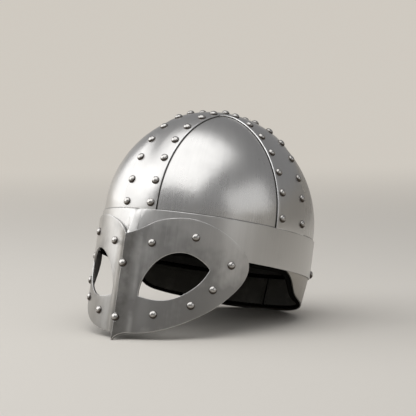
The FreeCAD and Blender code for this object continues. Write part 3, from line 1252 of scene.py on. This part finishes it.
@dataclass
class SweatBand(Lining):
    """The leather band round the head, with a rolled hem that shows below the rim."""

    top: float = 34.0 * MM
    hang: float = -3.5 * MM
    behind: float = 1.5 * MM
    hem_end: float = math.radians(84.0)
    hem_fade: float = math.radians(7.0)
    turns: int = 240
    outline: tuple[Span, ...] = (
        (3.1, 1.2), (3.1, 18.0), (3.1, 36.8), (3.4, 37.3), (4.1, 37.5), (4.8, 37.3), (5.1, 36.6),
        (5.2, 35.4), (4.9, 34.8), (5.2, 34.2), (5.7, 31.0), (6.1, 25.0), (6.2, 18.0), (6.0, 12.0),
        (5.5, 7.5), (5.0, 5.4), (4.4, 4.7), (5.1, 4.2), (5.8, 3.4), (6.0, 2.4), (5.9, 1.4), (5.5, 0.6),
        (4.9, 0.1), (4.2, 0.0), (3.5, 0.3),
    )
    hem_from: int = 16
    stitch_rows: tuple[Span, ...] = ((5.0, 34.8), (4.5, 4.7))

    def place(self, turn: float, inset: float, rise: float) -> Vector:
        """A place on the band, by its inset and its rise from the hem in millimetres.

        Args:
            turn: The angle from the front, towards the wearer's left.
            inset: How far inside the bands, in millimetres.
            rise: The height over the hem, in millimetres.

        Returns:
            The place on the standing helmet.
        """
        away = abs(math.remainder(turn, TURN))
        low = self.hang + (self.behind - self.hang) * ease((away - self.hem_end) / self.hem_fade)
        height = low + rise * MM * (self.top - low) / (self.top - self.hang)
        steady = inset * MM + self.form.draw_in * min(height, 0.0)
        return self.form.stood(*self.form.on_wall(steady, turn, height))

    def round_head(self) -> list[float]:
        """The turns all round the head."""
        return [TURN * step / self.turns for step in range(self.turns)]

    def pieces(self) -> Pieces:
        """The band, with the dark trim leather on its hem, and on its outer face as painted shade.

        Returns:
            The one piece.
        """
        rings = [[self.place(turn, inset, rise) for inset, rise in self.outline] for turn in self.round_head()]
        shape = swept(rings, True)
        # The hem gets the dark trim leather; the lowest strip of the outer face gets it as painted shade.
        shades = [int(not 0 < index % len(self.outline) < self.hem_from) for index in range(len(shape[1]))]
        yield "sweat_band", shape, shades

    def stitched(self) -> Rows:
        """The rows along the top and the hem.

        Returns:
            The rows by the name of their thread.
        """
        turns = self.round_head() + [0.0]
        rows = [[self.place(turn, inset, rise) for turn in turns] for inset, rise in self.stitch_rows]
        return {"sweat_band_stitches": rows}


@dataclass
class CapLining(SheetLining):
    """Four padded leather gores that meet in seams over the head."""

    outer: float = 3.1 * MM
    start: float = 34.4 * MM
    columns: int = 56
    rows: int = 48
    bend: float = 0.07
    end: float = 0.997
    seam_depth: float = 3.3 * MM
    seam_curve: float = 0.6
    leather: float = 5.2 * MM
    padding: float = 1.6 * MM
    lip: float = 2.2 * MM
    foot_lip: float = 0.2
    swell: float = 24.0 * MM
    stitch_distance: float = 4.5 * MM
    stitch_groove: float = 0.5 * MM
    groove_width: float = 1.2 * MM
    stitch_start: float = 0.012
    stitch_reach: float = 0.90
    stitch_points: int = 60

    def inner_inset(self, plain: Vector) -> float:
        """How far inside the bands the face of a gore lies at a place.

        Args:
            plain: The worn place at the leather's plain depth.

        Returns:
            The inset.
        """
        beside = min(abs(plain.x), abs(plain.y))
        seam = min(beside, max(plain.z - self.start, 0.0) + self.lip * self.foot_lip)
        inset = self.seam_depth + (self.leather - self.seam_depth) * ease(seam / self.lip) ** self.seam_curve
        inset += self.padding * ease((seam - self.stitch_distance) / self.swell)
        away = (beside - self.stitch_distance) / self.groove_width
        return inset - self.stitch_groove * math.exp(-away * away)

    def place(self, turn: float, share: float, inset: float | None = None) -> Vector:
        """A place on the gores, by its turn and its share of the way up.

        Args:
            turn: The angle from the front.
            share: Zero at the lower edge and one at the crown.
            inset: The inset, or None for the face of the gore.

        Returns:
            The place on the standing helmet.
        """
        if share < self.bend:
            on_form, rise = self.form.on_wall, self.start + (self.form.wall - self.start) * share / self.bend
        else:
            on_form, rise = self.form.on_dome, QUARTER * (share - self.bend) / (1.0 - self.bend)
        if inset is None:
            inset = self.inner_inset(on_form(self.leather, turn, rise))
        return self.form.stood(*on_form(inset, turn, rise))

    def pieces(self) -> Pieces:
        """The four gores, with closer columns beside the seams.

        Returns:
            The gores, one after the other.
        """
        shares = [share * self.end for share in steps(self.rows)]
        across = [0.5 - 0.5 * math.cos(math.pi * share) for share in steps(self.columns)]
        for quarter, name in enumerate(("front_left", "rear_left", "rear_right", "front_right")):
            turns = [QUARTER * (quarter + share) for share in across]
            shape = self.sheet(turns, shares)
            yield "cap_lining_" + name, shape, [0] * len(shape[1])

    def stitched(self) -> Rows:
        """The rows beside the seams, from the lower edge to near the crown.

        Returns:
            The rows by the name of their thread.
        """
        rows = []
        for seam in range(4):
            lengthwise = self.form.half_length if seam % 2 else self.form.half_width
            for side in (-1.0, 1.0):
                row = []
                for share in steps(self.stitch_points):
                    share = self.stitch_start + self.stitch_reach * share
                    lift = QUARTER * max(share - self.bend, 0.0) / (1.0 - self.bend)
                    off = side * self.stitch_distance / (lengthwise * max(math.cos(lift), 0.1))
                    row.append(self.place(seam * QUARTER + math.asin(max(min(off, 1.0), -1.0)), share))
                rows.append(row)
        return {"cap_stitches": rows}


@dataclass
class NapeLining(SheetLining):
    """The leather behind the nape guard, in two halves with a bound edge and a seam at the back."""

    outer: float = 3.4 * MM
    front: float = -4.0 * MM
    length: float = 115.9 * MM
    depth: float = 31.0 * MM
    lowest: float = -30.0 * MM
    top: float = 1.4 * MM
    edge_shares: tuple[Span, ...] = (
        (-0.035, 0.113), (0.035, 0.148), (0.086, 0.226), (0.129, 0.352), (0.177, 0.516), (0.224, 0.677),
        (0.302, 0.800), (0.431, 0.871), (0.552, 0.910), (0.673, 0.935), (0.794, 0.958), (0.897, 0.974),
        (1.0, 0.984),
    )
    inner: float = 5.0 * MM
    seam_leather: float = 0.3 * MM
    padding: float = 0.9 * MM
    seam_reach: float = 3.0 * MM
    swell_reach: float = 12.0 * MM
    swell_top: float = 1.0 / 5.0
    swell_foot: float = 1.0 / 3.0
    # Faces this close to the seam get the dark trim leather, a painted shade in the seam's groove.
    seam_shade: float = 1.3 * MM
    seam_gap: float = 0.0016
    columns: int = 90
    column_curve: float = 1.25
    rows: int = 22
    edge_rounds: int = 12
    binding_width: float = 3.6 * MM
    binding_inset: float = 4.5 * MM
    binding_half: float = 1.15 * MM
    binding_points: int = 14
    binding_round: float = 0.8
    stitch_rise: float = 0.86
    stitch_sink: float = 0.72
    seam_stitch_turn: float = 0.037
    seam_stitches: Span = (0.05, 0.9)
    seam_stitch_points: int = 31

    def edge_height(self, back: float) -> float:
        """The height of the lower edge at a distance back, on a smooth line through its points.

        Args:
            back: The distance back from the middle of the skull.

        Returns:
            The height, which is negative below the rim.
        """
        places = [self.front + u * self.length for u, _ in self.edge_shares]
        heights = [-v * self.depth for _, v in self.edge_shares]
        slopes = [(heights[k + 1] - heights[k]) / (places[k + 1] - places[k]) for k in range(len(places) - 1)]
        knots = [slopes[0]] + [(a + b) / 2.0 for a, b in zip(slopes, slopes[1:])] + [slopes[-1]]
        i = max(min(int(np.searchsorted(places, back)) - 1, len(places) - 2), 0)
        span = places[i + 1] - places[i]
        t = min(max((back - places[i]) / span, 0.0), 1.0)
        smooth = (2 * t ** 3 - 3 * t ** 2 + 1) * heights[i] + (t ** 3 - 2 * t ** 2 + t) * span * knots[i]
        smooth += (3 * t ** 2 - 2 * t ** 3) * heights[i + 1] + (t ** 3 - t ** 2) * span * knots[i + 1]
        return max(smooth, self.lowest)

    def edge(self, turn: float, inset: float) -> Vector:
        """The worn place on the lower edge at a turn.

        Args:
            turn: The angle from the front, towards the wearer's left.
            inset: How far inside the bands.

        Returns:
            The place.
        """
        height = self.lowest
        for _ in range(self.edge_rounds):
            height = self.edge_height(self.form.on_wall(inset, turn, height).y)
        return self.form.on_wall(inset, turn, height)

    def turns(self, side: float) -> list[float]:
        """The turns from the front end of the lining to the seam at the back.

        Args:
            side: One for the left half and minus one for the right half.

        Returns:
            The turns, closer together towards the seam.
        """
        ahead = self.front + self.edge_shares[0][0] * self.length
        first = math.acos(-ahead / (self.form.half_length - self.outer))
        reach = math.pi - self.seam_gap - first
        shares = [1.0 - (1.0 - step) ** self.column_curve for step in steps(self.columns)]
        return [side * (first + reach * share) for share in shares]

    def place(self, turn: float, share: float, inset: float | None = None) -> Vector:
        """A place on a half, by its turn and its share of the way from the top to the lower edge.

        Args:
            turn: The angle from the front.
            share: Zero at the top and one at the lower edge.
            inset: The inset, or None for the inner face.

        Returns:
            The place on the standing helmet.
        """
        height = self.top + (self.edge(turn, self.inner).z - self.top) * share
        if inset is None:
            away = abs(self.form.on_wall(self.inner, turn, height).x)
            swell = ease(share / self.swell_top) * ease((1.0 - share) / self.swell_foot)
            swell *= ease(away / self.swell_reach)
            thin = self.outer + self.seam_leather
            inset = thin + (self.inner - thin) * ease(away / self.seam_reach) + self.padding * swell
        return self.form.stood(*self.form.on_wall(inset, turn, height))

    def along_edge(self, side: float) -> list[tuple[Vector, Vector, Vector]]:
        """The edge's places, with the ways inwards over the leather and out from the head.

        Args:
            side: One for the left half and minus one for the right half.

        Returns:
            A place and its two ways at each turn.
        """
        places = [self.edge(turn, self.binding_inset) for turn in self.turns(side)]
        found = []
        for i, place in enumerate(places):
            ahead = places[min(i + 1, len(places) - 1)] - places[max(i - 1, 0)]
            out = Vector((place.x / self.form.half_width ** 2, place.y / self.form.half_length ** 2, 0.0))
            out.normalize()
            up = out.cross(ahead).normalized()
            found.append((place, up if up.z > 0.0 else -up, out))
        return found

    def binding_rings(self, side: float) -> list[Row]:
        """The rings of the rolled binding along the lower edge.

        Args:
            side: One for the left half and minus one for the right half.

        Returns:
            The rings, on the standing helmet.
        """
        offsets = []
        for step in range(self.binding_points):
            angle = TURN * step / self.binding_points
            ways = math.cos(angle), math.sin(angle)
            wide, thick = (math.copysign(abs(way) ** self.binding_round, way) for way in ways)
            offsets.append((self.binding_width * 0.5 * (1.0 + wide), self.binding_half * thick))
        return [
            [self.form.stood(*(place + up * rise + out * lift)) for rise, lift in offsets]
            for place, up, out in self.along_edge(side)
        ]

    def pieces(self) -> Pieces:
        """Both halves with their bindings, with the dark trim leather on the binding and, as painted shade, on
        the outer face, the edges and along the seam.

        Returns:
            The halves, one after the other.
        """
        for name, side in SIDES.items():
            verts, faces = self.sheet(self.turns(side), steps(self.rows))
            # The outer face and edges, and the faces along the seam, get the dark trim leather as painted
            # shade.
            shades = [
                int(min(i % (2 * self.columns) for i in face) < self.columns
                    or max(abs(verts[i].x) for i in face) < self.seam_shade) for face in faces
            ]
            bound, bound_faces = swept(self.binding_rings(side), False)
            faces += [[index + len(verts) for index in face] for face in bound_faces]
            yield "nape_lining_" + name, (verts + bound, faces), shades + [1] * len(bound_faces)

    def stitched(self) -> Rows:
        """The rows along the binding and beside the seam at the back.

        Returns:
            The rows by the name of their thread.
        """
        rows = []
        for side in SIDES.values():
            rise, sink = self.binding_width * self.stitch_rise, self.binding_half * self.stitch_sink
            edge = self.along_edge(side)
            rows.append([self.form.stood(*(place + up * rise - out * sink)) for place, up, out in edge])
            beside = side * (math.pi - self.seam_stitch_turn)
            start, reach = self.seam_stitches
            rows.append([self.place(beside, start + reach * step) for step in steps(self.seam_stitch_points)])
        return {"nape_stitches": rows}


# Studio


def direction(turn: float, lift: float) -> Vector:
    """The way from the helmet at an angle from its face and at a height angle."""
    return Vector((math.sin(turn) * math.cos(lift), -math.cos(turn) * math.cos(lift), math.sin(lift)))


@dataclass(frozen=True)
class Lamp:
    """One soft area lamp that looks at the helmet, by its direction from the face and its height angle."""

    name: str
    azimuth: float
    elevation: float
    distance: float
    width: float
    height: float
    level: float

    def build(self, aim: Vector) -> None:
        """Hangs the lamp and turns it to the aim.

        Args:
            aim: The place that the lamp looks at.
        """
        way = direction(math.radians(self.azimuth), math.radians(self.elevation))
        light = bpy.data.lights.new(self.name, "AREA")
        light.shape = "RECTANGLE"
        light.size = self.width
        light.size_y = self.height
        light.energy = self.level * self.width * self.height * math.pi
        lamp = bpy.data.objects.new(self.name, light)
        lamp.location = aim + way * self.distance
        lamp.rotation_euler = (-way).to_track_quat("-Z", "Y").to_euler()
        bpy.context.scene.collection.objects.link(lamp)


@dataclass
class Studio:
    """A pale floor, soft lamps and the camera at the photograph's angle."""

    azimuth: float = math.radians(37.6435)
    elevation: float = math.radians(5.0782)
    roll: float = math.radians(-0.98898)
    distance: float = 1.96099
    aim: Spot = (0.003223, 0.013057, 0.115088)
    lens: float = 167.2736
    sensor: float = 36.0
    clip: Span = (0.05, 50.0)
    floor_radius: float = 2.7
    floor_sides: int = 96
    backdrop_height: float = 0.75
    bend: float = 0.45
    bend_steps: int = 12
    floor_tint: Colour = (0.64, 0.61, 0.56)
    floor_roughness: float = 0.85
    backdrop_tint: Colour = (0.66, 0.62, 0.56)
    backdrop_share: float = 0.9
    glow_behind: Span = (0.5, 2.4)
    glow_beside: Span = (0.55, 1.0)
    room_tint: Colour = (0.98, 0.98, 1.0)
    room_level: float = 0.30
    lamp_aim: Spot = (0.0, 0.0, 0.1)
    lamps: tuple[Lamp, ...] = (
        Lamp("overhead_lamp", 3.0, 73.0, 1.6, 2.1, 2.1, 1.50),
        Lamp("left_lamp", -65.0, 28.0, 1.9, 2.65, 1.45, 1.78),
        Lamp("right_lamp", 96.0, 21.0, 1.9, 1.6, 0.85, 0.64),
    )

    def camera(self) -> None:
        """Sets the camera."""
        back = direction(self.azimuth, self.elevation)
        right = Vector((math.cos(self.azimuth), math.sin(self.azimuth), 0.0))
        matrix = Matrix((right, back.cross(right), back)).transposed().to_4x4()
        matrix = matrix @ Matrix.Rotation(self.roll, 4, "Z")
        matrix.translation = Vector(self.aim) + back * self.distance
        data = bpy.data.cameras.new("camera")
        data.lens = self.lens
        data.sensor_width = self.sensor
        data.clip_start, data.clip_end = self.clip
        camera = bpy.data.objects.new("camera", data)
        camera.matrix_world = matrix
        bpy.context.scene.collection.objects.link(camera)
        bpy.context.scene.camera = camera

    def floor(self) -> None:
        """Lays the round floor, which bends up to a low backdrop all round."""
        profile = [(0.0, 0.0), (self.floor_radius * 0.5, 0.0), (self.floor_radius, 0.0)]
        for step in range(1, self.bend_steps + 1):
            angle = QUARTER * step / self.bend_steps
            along = self.floor_radius + self.bend * math.sin(angle)
            profile.append((along, self.bend * (1.0 - math.cos(angle))))
        profile.append((self.floor_radius + self.bend, self.backdrop_height))
        sides = self.floor_sides
        turns = [-TURN * step / sides for step in range(sides)]
        verts, faces = swept([
            [Vector((along * math.cos(turn), along * math.sin(turn), height)) for turn in turns]
            for along, height in profile
        ], False)
        open_faces = faces[:(len(profile) - 1) * sides]
        mesh = mesh_of("floor", (verts, open_faces), [0] * len(open_faces), outward=False)
        mesh.materials.append(self.paint())
        linked("floor", mesh)

    def paint(self) -> Material:
        """The paint of the floor and the backdrop.

        Returns:
            The material, which keeps its pale tone behind the helmet and to the left of it in the picture.
        """
        material, book = empty_material("floor_paint")
        left, back, _ = book.parts(book.place())
        away = back * math.cos(self.azimuth) - left * math.sin(self.azimuth)
        beside = left * math.cos(self.azimuth) + back * math.sin(self.azimuth)
        ray = book.node("ShaderNodeLightPath", {}, {})
        seen = ray + ray.out("Is Glossy Ray") + ray.out("Is Transmission Ray")
        share = seen.least(1.0) * away.ramp(*self.glow_behind) * (1.0 - beside.ramp(*self.glow_beside))
        plain = {"Base Color": linear(self.floor_tint), "Roughness": self.floor_roughness}
        shader = book.node("ShaderNodeBsdfPrincipled", {}, plain)
        glow = book.node("ShaderNodeEmission", {}, {"Color": linear(self.backdrop_tint), "Strength": 1.0})
        mixed = book.node("ShaderNodeMixShader", {}, {0: share * self.backdrop_share, 1: shader, 2: glow})
        book.node("ShaderNodeOutputMaterial", {}, {"Surface": mixed})
        return material

    def room(self) -> None:
        """Lights the room evenly."""
        world = bpy.data.worlds.new("room")
        world.use_nodes = True
        book = NodeBook(world.node_tree)
        settings = {"Color": linear(self.room_tint), "Strength": self.room_level}
        book.node("ShaderNodeOutputWorld", {}, {"Surface": book.node("ShaderNodeBackground", {}, settings)})
        bpy.context.scene.world = world

    def build(self) -> None:
        """Sets up the whole studio."""
        self.camera()
        self.floor()
        self.room()
        for lamp in self.lamps:
            lamp.build(Vector(self.lamp_aim))
        bpy.context.scene.view_settings.view_transform = "Standard"


# The helmet


@dataclass
class Helmet:
    """All sub-assemblies of the helmet, in the order in which they are dressed."""

    bright: Colour = (0.58, 0.572, 0.558)
    brow: Colour = (0.60, 0.592, 0.577)
    satin: Colour = (0.595, 0.587, 0.573)
    grey: Colour = (0.56, 0.55, 0.532)
    # The nape guard's steel is darker and browner than the other plates, a painted dark reflection from below.
    darkened_guard_grey: Colour = (0.40, 0.38, 0.35)
    # The brighter tint of the eased brow and mask edges is partly wear, partly painted highlight.
    soft_edge: Colour = (0.66, 0.655, 0.645)
    dull_edge: Colour = (0.36, 0.35, 0.34)
    cap: Colour = (0.026, 0.025, 0.022)
    worn_cap: Colour = (0.045, 0.043, 0.038)
    # The trim leather is darker; on the seam and on faces tucked against the steel its darkness is painted
    # shade.
    trim: Colour = (0.0045, 0.0042, 0.0038)
    worn_trim: Colour = (0.0090, 0.0085, 0.0075)

    def plates(self) -> list[PlateSet]:
        """The steel plates.

        Returns:
            The sets, in the order in which they are dressed.
        """
        panels = tuple("skull_panel_%s_%s" % (end, side) for end in ("front", "rear") for side in SIDES)
        # The painted shade of the bands' cut edges, at half strength on the brow band.
        half = WallFootShade(share=0.5)
        brow = SteelFinish("brow_band_steel", self.brow, 0.30, shade=0.15, patina=0.5, painted_shade=half)
        crest = SteelFinish("crest_band_steel", self.bright, 0.29, Brushing.OVER_CREST, painted_shade=WallFootShade())
        sides = SteelFinish("side_band_steel", self.bright, 0.29, Brushing.OVER_SIDE, painted_shade=WallFootShade())
        panel = SteelFinish("skull_panel_steel", self.satin, 0.27, line_depth=0.04, painted_shade=PanelEdgeShade())
        # The mask's painted reflection darkens it towards its lower edge.
        aged_and_shaded = {"shade": 0.24, "patina": 1.0, "low_painted_reflection": 0.6}
        mask = SteelFinish("mask_steel", self.grey, 0.33, ridge=RidgeShade(), **aged_and_shaded)
        guard = SteelFinish("nape_guard_steel", self.darkened_guard_grey, 0.33, patina=0.6)
        # The bright eased edges are partly wear and partly painted highlight; worn is the mask's.
        sharp = RubbedAndHighlightedEdgeFinish("rubbed_and_highlighted_band_edge")
        dull = (self.soft_edge, self.dull_edge)
        soft = RubbedAndHighlightedEdgeFinish("rubbed_and_highlighted_brow_edge", *dull, painted_shade=WallFootShade(share=0.45))
        worn = RubbedAndHighlightedEdgeFinish("rubbed_and_highlighted_mask_edge", *dull)
        return [
            PlateSet(("brow_band",), brow, soft, "bands", 0.5 * MM, fold_width=3.0 * MM),
            PlateSet(("crest_band",), crest, sharp, "bands"),
            PlateSet(("side_band_left", "side_band_right"), sides, sharp, "bands"),
            PlateSet(panels, panel, sharp, "skull_panels"),
            PlateSet(("spectacle_mask",), mask, worn, "mask", 0.42 * MM),
            PlateSet(("nape_guard",), guard, sharp, "nape_guard", 0.55 * MM),
        ]

    def rivets(self) -> Rivets:
        """All groups of rivets.

        Returns:
            The groups, which share one finish.
        """
        return Rivets((
            "crest_rivets_front", "crest_rivets_rear", "side_rivets_left", "side_rivets_right",
            "crown_rivets", "mask_brow_rivets", "mask_wing_rivets", "nose_ridge_rivets", "nape_guard_rivets",
        ), RivetFinish())

    def leather(self) -> None:
        """The leather lining with its stitches."""
        trim = LeatherFinish("black_trim_and_shade_leather", self.trim, self.worn_trim, roughness=0.85, shine=0.0).build()
        cap = LeatherFinish("black_cap_leather", self.cap, self.worn_cap).build()
        form = SkullForm()
        rows = SweatBand(form).build((cap, trim))
        rows.update(CapLining(form).build((cap, trim)))
        rows.update(NapeLining(form).build((LeatherFinish().build(), trim)))
        Stitching().build(rows)

    def build(self, frame: dict[str, Any]) -> None:
        """Dresses the whole helmet.
        """
        inside = BlackenedAndShadedFinish().build()
        for plates in self.plates():
            plates.build(frame, inside)
        self.rivets().build(frame)
        self.leather()


def main() -> None:
    """Builds the studio and every sub-assembly in order."""
    logging.basicConfig(level=logging.INFO, format="%(name)s: %(message)s")
    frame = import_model()
    Studio().build()
    Helmet().build(frame)


if __name__ == "__main__":
    main()
